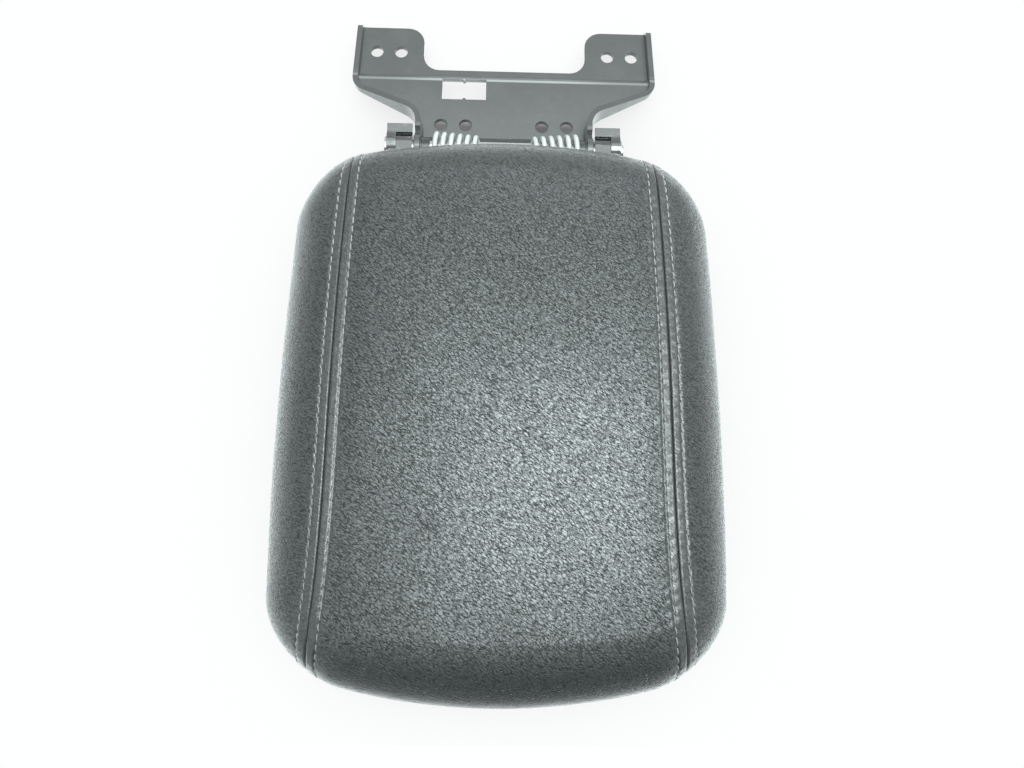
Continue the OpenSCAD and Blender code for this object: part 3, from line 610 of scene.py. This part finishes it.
def stitch_row(sign, offset):
    """Tubes of thread, one for each pitch, with their ends below the leather."""
    middle, normal, run = row_line(sign, offset)
    lowered = relief(np.full(len(run), abs(offset)), run, 0.0)
    base = middle + normal * (lowered + swell(middle[:, 0], middle[:, 1]))[:, None]
    first = math.ceil((run[0] + ROW_MARGIN) / PITCH)
    past = math.floor((run[-1] - ROW_MARGIN) / PITCH)
    u = np.linspace(-1, 1, THREAD_RINGS)
    lift = LIFT * (1 - u ** 2) ** 0.6 - SUNK
    tubes = []
    for k in range(first, past):
        centre = (k + 0.5) * PITCH + UNEVEN * math.sin(7.3 * k + offset)
        at = centre + u * STITCH_LEN / 2
        spine = np.stack([np.interp(at, run, base[:, i]) for i in range(3)], -1)
        up = np.stack([np.interp(at, run, normal[:, i]) for i in range(3)], -1)
        up /= np.linalg.norm(up, axis=1, keepdims=True)
        across = np.cross(up, np.gradient(spine, axis=0))
        across /= np.linalg.norm(across, axis=1, keepdims=True)
        spine = spine + up * lift[:, None] + across * (SLANT * u)[:, None]
        tubes.append(tube(spine, up, THREAD_R * (1 - 0.25 * u ** 4), THREAD_SIDES))
    return tubes


threads = []
for name, sign in (("stitching_left", -1.0), ("stitching_right", 1.0)):
    tubes = stitch_row(sign, -STITCH_D) + stitch_row(sign, STITCH_D)
    piece = tube_piece(name, tubes)
    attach(piece, "lid")
    threads.append(piece)
    print(name, len(tubes), "stitches")

# %% [markdown]
# ## The torsion springs
#
# Two springs on the pin lift the lid. Each is one coated wire: a leg that bears on the
# bracket's plate, six turns that tighten towards the middle, and a leg that runs into
# the lid. The solid in the CAD model has few sides, so a smooth wire takes its place.
# One end turns with the lid.

# %% Springs as one wire each
WIRE_R, WIRE_SIDES, WOUND_TURNS = 1.2, 14, 6
COIL_R, COIL_A, COIL_RINGS = (7.2, 5.4), (245.0, 285.0), WOUND_TURNS * 44 + 20
LEVEL_Y, LEVEL_Z, BEND_Y, BEND_Z = (15.6, 11.6), -13.0, 10.4, -12.75
LEG_LEN, LEG_DROP = 26, math.radians(15)
COIL_X = {"spring_left": (-34.9, -12.4), "spring_right": (37.2, 13.9)}


def spring_line(outer, inner):
    """The wire's middle line and a direction across it, in millimetres.

    Between the legs it is a helix about the X axis whose radius falls steadily. The
    legs leave it along its tangents, and the rear leg bends level under the plate.
    """
    f = np.linspace(0, 1, COIL_RINGS)
    a = np.radians(COIL_A[0] + (COIL_A[1] - COIL_A[0] - 360 * WOUND_TURNS) * f)
    x, r = mix(outer, inner, f), mix(COIL_R[0], COIL_R[1], f)
    coil = np.stack([x, r * np.cos(a), r * np.sin(a)], -1)
    out = np.stack([0 * a, np.cos(a), np.sin(a)], -1)
    bend = np.array([[outer, BEND_Y, BEND_Z]])
    rise = mix(coil[:1], bend, np.linspace(1, 0, 9)[:-1, None])
    level = np.stack([np.full(5, outer), np.linspace(*LEVEL_Y, 5), np.full(5, LEVEL_Z)], -1)
    forward = (0, -math.cos(LEG_DROP), -math.sin(LEG_DROP))
    leg = coil[-1:] + np.linspace(0, LEG_LEN, 9)[1:, None] * forward
    down = np.tile((0.0, 0.0, -1.0), (len(level) + len(rise), 1))
    last = np.tile(out[-1:], (len(leg), 1))
    path = np.concatenate([level, rise, coil, leg]) + (0, 0, AXIS_Z)
    return path, np.concatenate([down, out, last])


springs = []
for name, (outer, inner) in COIL_X.items():
    piece = tube_piece(name, [tube(*spring_line(outer, inner), WIRE_R, WIRE_SIDES)])
    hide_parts("torsion_" + name)
    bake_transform(piece)
    springs.append(piece)
    print(name, len(piece.data.polygons), "faces")

# %% [markdown]
# ## A way to write materials
#
# A material is a web of nodes, but most of it is sums. The first class below wraps a
# socket, so that adding or multiplying two of them adds the Math node for it. The second
# is the web, and its one method adds every other node. Materials read Object coordinates
# in metres, so a scale of 900 means 900 cells to the metre.

# %% Sockets that can be added and multiplied
class Signal:
    """One varying number, vector or shader; its operators add Math nodes."""

    def __init__(self, web, socket):
        self.web, self.socket = web, socket

    def math(self, operation, *values):
        """A Math node of that operation on the values."""
        return self.web.node("ShaderNodeMath", {"operation": operation},
                             dict(enumerate(values)))

    def __add__(self, other):
        return self.math("ADD", self, other)

    def __sub__(self, other):
        return self.math("SUBTRACT", self, other)

    def __mul__(self, other):
        return self.math("MULTIPLY", self, other)

    def __rsub__(self, other):
        return self.math("SUBTRACT", other, self)

    __radd__, __rmul__ = __add__, __mul__

    def size(self):
        """The number without its sign."""
        return self.math("ABSOLUTE", self)

    def step(self, low, high):
        """0 below low and 1 above high, with an S-curve between."""
        return self.web.node("ShaderNodeMapRange", {"interpolation_type": "SMOOTHSTEP"},
                             {"Value": self, "From Min": low, "From Max": high})


class Web:
    """A web of nodes with one kind of coordinates as its place."""

    def __init__(self, tree, coordinates):
        self.tree = tree
        self.place = self.node("ShaderNodeTexCoord", out=coordinates)

    def node(self, kind, settings={}, inputs={}, out=0):
        """Adds a node: its settings first, then its sockets, and returns one output."""
        made = self.tree.nodes.new(kind)
        for name, value in settings.items():
            setattr(made, name, value)
        for key, value in inputs.items():
            if isinstance(value, Signal):
                self.tree.links.new(value.socket, made.inputs[key])
            else:
                made.inputs[key].default_value = value
        return Signal(self, made.outputs[out])

    def axis(self, letter):
        """One of the three coordinates, in metres in a material."""
        return self.node("ShaderNodeSeparateXYZ", {}, {0: self.place}, letter)

    def ray(self, kind):
        """1 for a ray of that kind and 0 for others."""
        return self.node("ShaderNodeLightPath", out="Is %s Ray" % kind)


# %% Materials under construction
class Finish(Web):
    """A material: constants go straight onto its shader's sockets, signals are linked."""

    def __init__(self, name, **constants):
        self.material = bpy.data.materials.new(name)
        self.material.use_nodes = True
        super().__init__(self.material.node_tree, "Object")
        self.shader = self.tree.nodes["Principled BSDF"]
        for word, value in constants.items():
            self.port(word).default_value = value

    def port(self, word):
        """The shader's socket for a word such as coat_ior."""
        return self.shader.inputs[word.replace("_", " ").title().replace("Ior", "IOR")]

    def link(self, **signals):
        """Joins signals to the shader's sockets."""
        for word, signal in signals.items():
            self.tree.links.new(signal.socket, self.port(word))

    def wear(self, *pieces):
        """Puts the material on pieces, in place of what they had."""
        for piece in pieces:
            piece.data.materials.clear()
            piece.data.materials.append(self.material)
        print(self.material.name, "on", len(pieces), "pieces")

    def noise(self, scale, detail=2.0, roughness=0.5, at=None, out=0):
        """A cloudy pattern: output 0 is a number and output 1 a vector of three."""
        return self.node("ShaderNodeTexNoise", {}, {
            "Vector": at or self.place, "Scale": scale, "Detail": detail,
            "Roughness": roughness}, out)

    def cells(self, scale, feature="F1", at=None):
        """Distances in a Voronoi pattern, to the nearest centre or edge."""
        return self.node("ShaderNodeTexVoronoi", {"feature": feature},
                         {"Vector": at or self.place, "Scale": scale}, "Distance")

    def vector(self, operation, inputs):
        """A Vector Math node of that operation."""
        return self.node("ShaderNodeVectorMath", {"operation": operation}, inputs)

    def stretched(self, x, y, z):
        """The Object coordinates multiplied along each axis."""
        return self.vector("MULTIPLY", {0: self.place, 1: (x, y, z)})

    def turned(self, at, degrees, scale):
        """A place for a pattern that is turned about Z and stretched along its own axes."""
        return self.node("ShaderNodeMapping", {"vector_type": "TEXTURE"}, {
            "Vector": at, "Rotation": (0, 0, math.radians(degrees)), "Scale": scale})

    def warped(self, scale, amount):
        """The Object coordinates pushed about by a noise, which bends straight patterns."""
        push = self.vector("SUBTRACT", {0: self.noise(scale, out=1), 1: (0.5, 0.5, 0.5)})
        push = self.vector("SCALE", {0: push, "Scale": amount})
        return self.vector("ADD", {0: self.place, 1: push})

    def tint(self, factor, a, b):
        """A colour that goes from a to b with the factor."""
        a, b = (c if isinstance(c, Signal) else (*c, 1) for c in (a, b))
        return self.node("ShaderNodeMix", {"data_type": "RGBA"}, {0: factor, 6: a, 7: b}, 2)

    def rounded(self, radius):
        """A normal that is turned near sharp edges, as if they were rounded."""
        return self.node("ShaderNodeBevel", {"samples": 6}, {"Radius": radius})

    def relief(self, height, depth, under=None):
        """A Bump node: height from 0 to 1 stands for that depth in metres."""
        inputs = {"Height": height, "Distance": depth, "Strength": 1.0}
        return self.node("ShaderNodeBump", {},
                         {**inputs, "Normal": under} if under else inputs)

    def mixed(self, factor, first, second):
        """A shader that goes from the first to the second with the factor."""
        return self.node("ShaderNodeMixShader", {}, {0: factor, 1: first, 2: second})


# %% [markdown]
# ## Leather
#
# The cover is black artificial leather with a pressed grain that runs slantwise, down to
# the right. Three patterns make it, each turned and stretched along the grain: a fine
# noise for the ridges and valleys, creases between small Voronoi cells for the pebbles,
# and long thin wrinkles between large ones. They deepen the surface, darken the colour
# as painted shade in the hollows, and thin the clear topcoat, so the ridges shine and the
# valleys stay dull. The grain fades where the sheet was stretched, and a little brown
# shows on the folded welts.

# %% The leather's grain
leather = Finish("cover_leather", specular_ior_level=0.45, sheen_weight=0.7,
                 sheen_roughness=0.3, coat_roughness=0.26, coat_ior=1.6)
seam = leather.node("ShaderNodeAttribute", {"attribute_name": "seam_distance"}, out="Fac")
far_end = 1 - leather.axis("Y").step(0.030, 0.085)
grain = (0.6 + 0.4 * seam.step(3.5, 8.0)) * (0.65 + 0.35 * far_end)
slanted = leather.turned(leather.warped(330, 0.0006), -36, (1.7, 0.8, 1.0))
streaks = leather.turned(leather.warped(150, 0.0012), -36, (2.6, 0.9, 1.0))
fibres = leather.turned(leather.warped(90, 0.0035), -38, (2.6, 0.7, 1.0))
crease = (1 - leather.cells(780, "DISTANCE_TO_EDGE", slanted).step(0.0, 0.12)) * grain
wrinkle = (1 - leather.cells(330, "DISTANCE_TO_EDGE", fibres).step(0.0, 0.06)) * grain
valley = (1 - leather.noise(1500, 1.0, at=streaks).step(0.34, 0.60)) * grain

# %% The leather's colour and shine
height = 1 - 0.45 * valley - 0.55 * crease - 0.3 * wrinkle
# Painted shade: the colour goes nearly black in the grain's valleys, creases and wrinkles,
# where shade would fall.
painted_grain_shade = 0.6 * valley + 0.6 * crease + 0.4 * wrinkle
topcoat = (1 - 0.9 * valley) * (1 - 0.65 * crease) * (1 - 0.5 * wrinkle)
cloud = leather.noise(38, 3.0, 0.55)
base = leather.tint(cloud, (0.048, 0.058, 0.059), (0.062, 0.073, 0.074))
base = leather.tint(painted_grain_shade, base, (0.005, 0.007, 0.007))
base = leather.tint((1 - seam.step(2.5, 5.0)) * 0.4, base, (0.052, 0.051, 0.049))
leather.link(base_color=base, roughness=0.28 + 0.05 * cloud + 0.18 * crease,
             coat_weight=topcoat, normal=leather.relief(height, 0.00022))
leather.wear(*covers)

# %% [markdown]
# ## The other finishes
#
# Each remaining finish is a dark or metallic base with the marks of how it was made:
# sprayed paint, moulded texture, turned or plated steel, twisted thread, open foam. The
# CAD parts have sharp edges, so their normals are turned near an edge, which gives the
# thin highlight that a real rounded edge has. The bracket's paint and the knuckles'
# plastic have a clear coat over them, which mirrors the white room more sharply than the
# base does. A painted highlight, a pale line in the paint's colour, runs along the crease
# of the plate where its bend would catch the light.

# %% Thread and foam
thread = Finish("stitching_thread", roughness=0.6, specular_ior_level=0.35,
                sheen_weight=0.3)
plies = thread.noise(2600, 2.0, 0.6, at=thread.stretched(1.0, 0.45, 1.0))
# The thread's colour is mottled and grows darker towards the front of the lid.
mottled_darker_to_front = thread.noise(60, 2.0) * 0.5 + (1 - thread.axis("Y").step(-0.12, 0.09)) * 0.5
thread.link(base_color=thread.tint(mottled_darker_to_front, (0.68, 0.68, 0.63), (0.24, 0.23, 0.20)),
            normal=thread.relief(plies, 0.00012))
thread.wear(*threads)

foam = Finish("moulded_foam", roughness=0.95, specular_ior_level=0.2)
pits = foam.cells(700, "SMOOTH_F1")
# The colour darkens towards the middle of each pit: painted shade in the hollows.
foam.link(base_color=foam.tint(pits, (0.50, 0.46, 0.33), (0.70, 0.66, 0.52)),
          normal=foam.relief(pits, 0.0006))
foam.wear(foam_core)

# %% Painted steel of the bracket
paint = Finish("bracket_paint", roughness=0.4, specular_ior_level=0.5, coat_weight=1.0,
               coat_roughness=0.12, coat_ior=1.4)
peel = paint.noise(520, 2.0, 0.5)
dust = paint.noise(75, 5.0, 0.7).step(0.42, 0.75)
specks = 1 - paint.cells(230).step(0.05, 0.09)
behind = paint.axis("Y") * 1000 - HINGE_Y
middle = 1 - paint.axis("X").size().step(0.030, 0.062)
# Painted highlight: a pale band in the base colour along the plate's crease, where the rounded
# bend would catch the light; it is strongest in the middle.
sharp_highlight_band = behind.step(43.0, 43.5) * (1 - behind.step(44.2, 44.9))
soft_highlight_band = behind.step(44.6, 45.2) * (1 - behind.step(46.2, 46.9))
painted_crease_highlight = sharp_highlight_band * (0.35 + 0.35 * middle) + soft_highlight_band * (0.05 + 0.2 * middle)
coats = paint.tint(specks * 0.5, (0.088, 0.092, 0.090), (0.19, 0.19, 0.18))
coats = paint.tint(dust * 0.5, coats, (0.130, 0.132, 0.130))
paint.link(base_color=paint.tint(painted_crease_highlight, coats, (0.62, 0.64, 0.63)),
           roughness=0.36 + 0.16 * dust + 0.05 * peel,
           normal=paint.relief(peel, 0.00007, paint.rounded(0.0006)))
paint.wear(nodes["hinge_bracket"])

# %% Springs, pin and screws
coating = Finish("spring_coating", roughness=0.32, coat_weight=0.3, coat_roughness=0.15)
chips = coating.noise(180, 3.0).step(0.55, 0.8) * 0.4
coating.link(base_color=coating.tint(chips, (0.84, 0.85, 0.84), (0.62, 0.63, 0.60)),
             normal=coating.relief(coating.noise(420, 2.0), 0.00005))
coating.wear(*springs)

steel = Finish("turned_steel", roughness=0.28, metallic=1.0)
turning = steel.noise(900, 1.0, at=steel.stretched(1.0, 0.02, 0.02))
steel.link(base_color=steel.tint(steel.noise(240, 3.0),
                                 (0.46, 0.47, 0.47), (0.62, 0.63, 0.62)),
           roughness=0.22 + 0.16 * turning,
           normal=steel.relief(turning, 0.00003, steel.rounded(0.0003)))
steel.wear(nodes["hinge_pin"], nodes["pin_clip"], nodes["latch_pin"])

zinc = Finish("zinc_plated_steel", roughness=0.38, metallic=1.0)
bloom = zinc.noise(420, 4.0, 0.65)
zinc.link(base_color=zinc.tint(bloom, (0.40, 0.42, 0.44), (0.58, 0.58, 0.54)),
          roughness=0.30 + 0.2 * bloom,
          normal=zinc.relief(zinc.noise(2400, 1.0), 0.00002, zinc.rounded(0.0003)))
zinc.wear(nodes["knuckle_screws"], nodes["panel_screws"], nodes["latch_spring"])

# %% Plastics and rubber
gloss = Finish("glossy_black_moulding", specular_ior_level=0.8, coat_weight=1.0,
               coat_roughness=0.08, coat_ior=1.7)
scuffs = gloss.noise(900, 3.0, 0.7, at=gloss.stretched(0.25, 1.0, 1.0)).step(0.55, 0.72)
gloss.link(base_color=gloss.tint(scuffs, (0.016, 0.017, 0.018), (0.16, 0.17, 0.17)),
           roughness=0.16 + 0.25 * scuffs,
           normal=gloss.relief(gloss.noise(260, 1.0), 0.00006, gloss.rounded(0.0005)))
gloss.wear(nodes["hinge_knuckle_left"], nodes["hinge_knuckle_right"])

bush = Finish("smooth_bush_plastic", roughness=0.34)
rubbed = bush.noise(380, 3.0).step(0.5, 0.75)
bush.link(base_color=bush.tint(rubbed, (0.06, 0.062, 0.063), (0.14, 0.145, 0.145)),
          roughness=0.24 + 0.2 * rubbed,
          normal=bush.relief(rubbed, 0.00003, bush.rounded(0.0003)))
bush.wear(nodes["ear_bush_left"], nodes["ear_bush_right"])

moulding = Finish("textured_black_moulding", roughness=0.55, specular_ior_level=0.45)
spark = moulding.cells(1900, "SMOOTH_F1")
flow = moulding.noise(24, 4.0, 0.6)
moulding.link(base_color=moulding.tint(flow, (0.020, 0.021, 0.023), (0.036, 0.037, 0.039)),
              roughness=0.48 + 0.16 * flow,
              normal=moulding.relief(spark, 0.00012, moulding.rounded(0.0004)))
moulding.wear(*(nodes[name] for name in (
    "lid_base", "inner_panel", "latch_housing", "latch_lever")))

rubber = Finish("matte_rubber", roughness=0.8, specular_ior_level=0.3)
bloomed = rubber.noise(500, 4.0, 0.7)
rubber.link(base_color=rubber.tint(bloomed, (0.014, 0.014, 0.015), (0.034, 0.034, 0.034)),
            roughness=0.7 + 0.2 * bloomed,
            normal=rubber.relief(bloomed, 0.0001, rubber.rounded(0.0004)))
rubber.wear(*(nodes[name] for name in nodes if name.startswith("bumper")))

# %% [markdown]
# ## Table and light
#
# The photo was taken on a bright white table under broad, soft light from above, which
# is what draws the pale patch on the pad. Here the table is white to the object, so it
# lights the undersides and shows in the gloss. To the camera it is clear where nothing
# shades it, because the lid swings below it when the hinge closes, and it darkens where
# something stands close over it, most of all in the gap under the plate.

# %% The table
TABLE_HALF, TABLE_FRONT, TABLE_GLOW = 2.0, -0.185, 0.75
PLATE_FRONT, PLATE_REAR = HINGE_Y * MM - 0.008, HINGE_Y * MM + 0.023

corners = [(-TABLE_HALF, TABLE_FRONT, 0), (TABLE_HALF, TABLE_FRONT, 0),
           (TABLE_HALF, TABLE_HALF, 0), (-TABLE_HALF, TABLE_HALF, 0)]
table = add_piece("table_top", corners, [(0, 1, 2, 3)])

# %% The table's white
white = Finish("white_table", base_color=(0.87, 0.9, 0.9, 1), roughness=0.6,
               specular_ior_level=0.2)
between_ears = 1 - white.axis("X").size().step(0.036, 0.044)
before_rear = 1 - white.axis("Y").step(PLATE_REAR, PLATE_REAR + 0.010)
behind_front = white.axis("Y").step(PLATE_FRONT, PLATE_FRONT + 0.006)
under_plate = between_ears * before_rear * behind_front
openness = white.node("ShaderNodeAmbientOcclusion", {"samples": 8}, {"Distance": 0.06}, "AO")
upper_face = 1 - white.node("ShaderNodeNewGeometry", out="Backfacing")
shade = (1 - openness).step(0.04, 1.0) * (0.2 + 0.7 * under_plate) * upper_face
plain = Signal(white, white.shader.outputs[0])
glow = white.node("ShaderNodeEmission", {}, {"Strength": TABLE_GLOW})
glowing = white.node("ShaderNodeAddShader", {}, {0: plain, 1: glow})
clear = white.node("ShaderNodeBsdfTransparent")
dark = white.node("ShaderNodeEmission", {}, {"Strength": 0.0})
mirrored = (white.ray("Glossy") + white.ray("Transmission")) * (1 - 0.88 * under_plate)
surface = white.mixed(mirrored, plain, glowing)
surface = white.mixed(white.ray("Camera"), surface, white.mixed(shade, clear, dark))
surface = white.mixed(white.ray("Shadow"), surface, clear)
white.tree.links.new(surface.socket, white.tree.nodes["Material Output"].inputs["Surface"])
white.wear(table)

# %% [markdown]
# Two lamps hang about 1.5 m up: a wide one whose reflection is the pale patch, and a
# larger, weaker one further back that lights the bracket. The white room is only seen by
# the camera and in the gloss, and its far front is dark, as the photographer's side is,
# which leaves the lid's front shoulder dark.

# %% The room
ROOM_FILL, DARKEST = 0.15, 0.05

bpy.context.scene.view_settings.view_transform = "Standard"
world = bpy.data.worlds.new("plain_room")
bpy.context.scene.world = world
world.use_nodes = True
room = Web(world.node_tree, "Generated")
ahead = DARKEST + (1 - DARKEST) * room.axis("Y").step(-0.98, -0.55)
shown = room.ray("Glossy") * ahead + room.ray("Camera") + room.ray("Transmission")
strength = shown.math("MAXIMUM", shown, ROOM_FILL)
sky = room.tree.nodes["Background"]
sky.inputs["Color"].default_value = (0.99, 1.0, 1.0, 1)
room.tree.links.new(strength.socket, sky.inputs["Strength"])
print("room lights the part with a strength of", ROOM_FILL)

# %% The lamps
LAMP_COLOUR = (0.88, 1.0, 1.0)


def lamp(name, place_mm, size, radiance):
    """A soft panel that faces down; its power is the radiance times pi times its area."""
    data = bpy.data.lights.new(name, "AREA")
    data.shape, data.color = "RECTANGLE", LAMP_COLOUR
    data.size, data.size_y = size
    data.energy = radiance * math.pi * size[0] * size[1]
    light = bpy.data.objects.new(name, data)
    bpy.context.scene.collection.objects.link(light)
    light.location = in_metres(place_mm)
    print(name, round(data.energy, 2), "W")


lamp("overhead", (281, -52, 1500), (0.95, 0.70), 8.3)
lamp("ceiling", (154, 248, 1600), (1.53, 1.53), 1.6)
